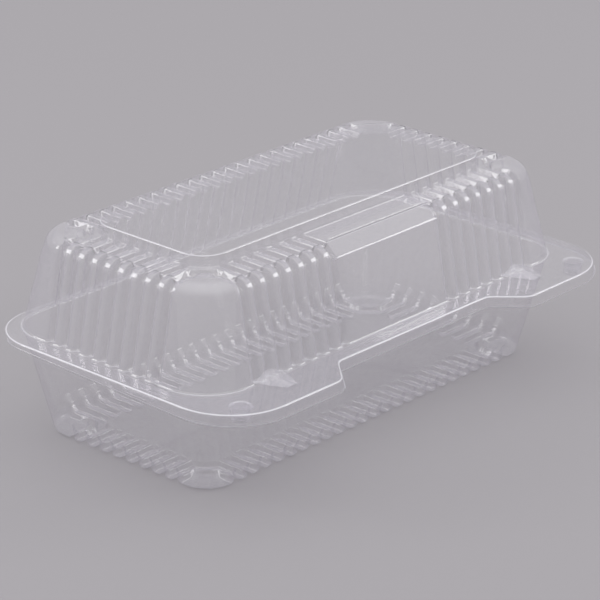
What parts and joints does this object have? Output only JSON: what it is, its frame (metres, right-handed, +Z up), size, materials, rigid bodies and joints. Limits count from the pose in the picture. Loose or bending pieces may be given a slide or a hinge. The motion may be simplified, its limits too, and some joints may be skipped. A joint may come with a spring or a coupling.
{
  "type": "hinged clear clamshell pack",
  "caption": "Clear thin-walled food pack with a fluted, flat-topped lid hinged along the back of a plain tray, with snap corners and finger tabs.",
  "frame": {"origin": "centre of the pack's length and depth, on the surface that it stands on", "axes": "+X along the pack, -Y towards the front with the finger tabs, +Y towards the hinge, +Z up"},
  "size_m": [0.2382, 0.1387, 0.0892],
  "materials": {
    "clear_sheet": "clear glossy formed sheet"
  },
  "bodies": {
    "base": {"base_tray": "clear_sheet"},
    "lid": {"lid": "clear_sheet"}
  },
  "joints": [
    {"name": "lid_hinge", "type": "hinge", "parent": "base", "child": "lid", "pos_m": [0, 0.06946, 0.0447], "axis": [-1, 0, 0], "range_deg": [0, 180]}
  ]
}
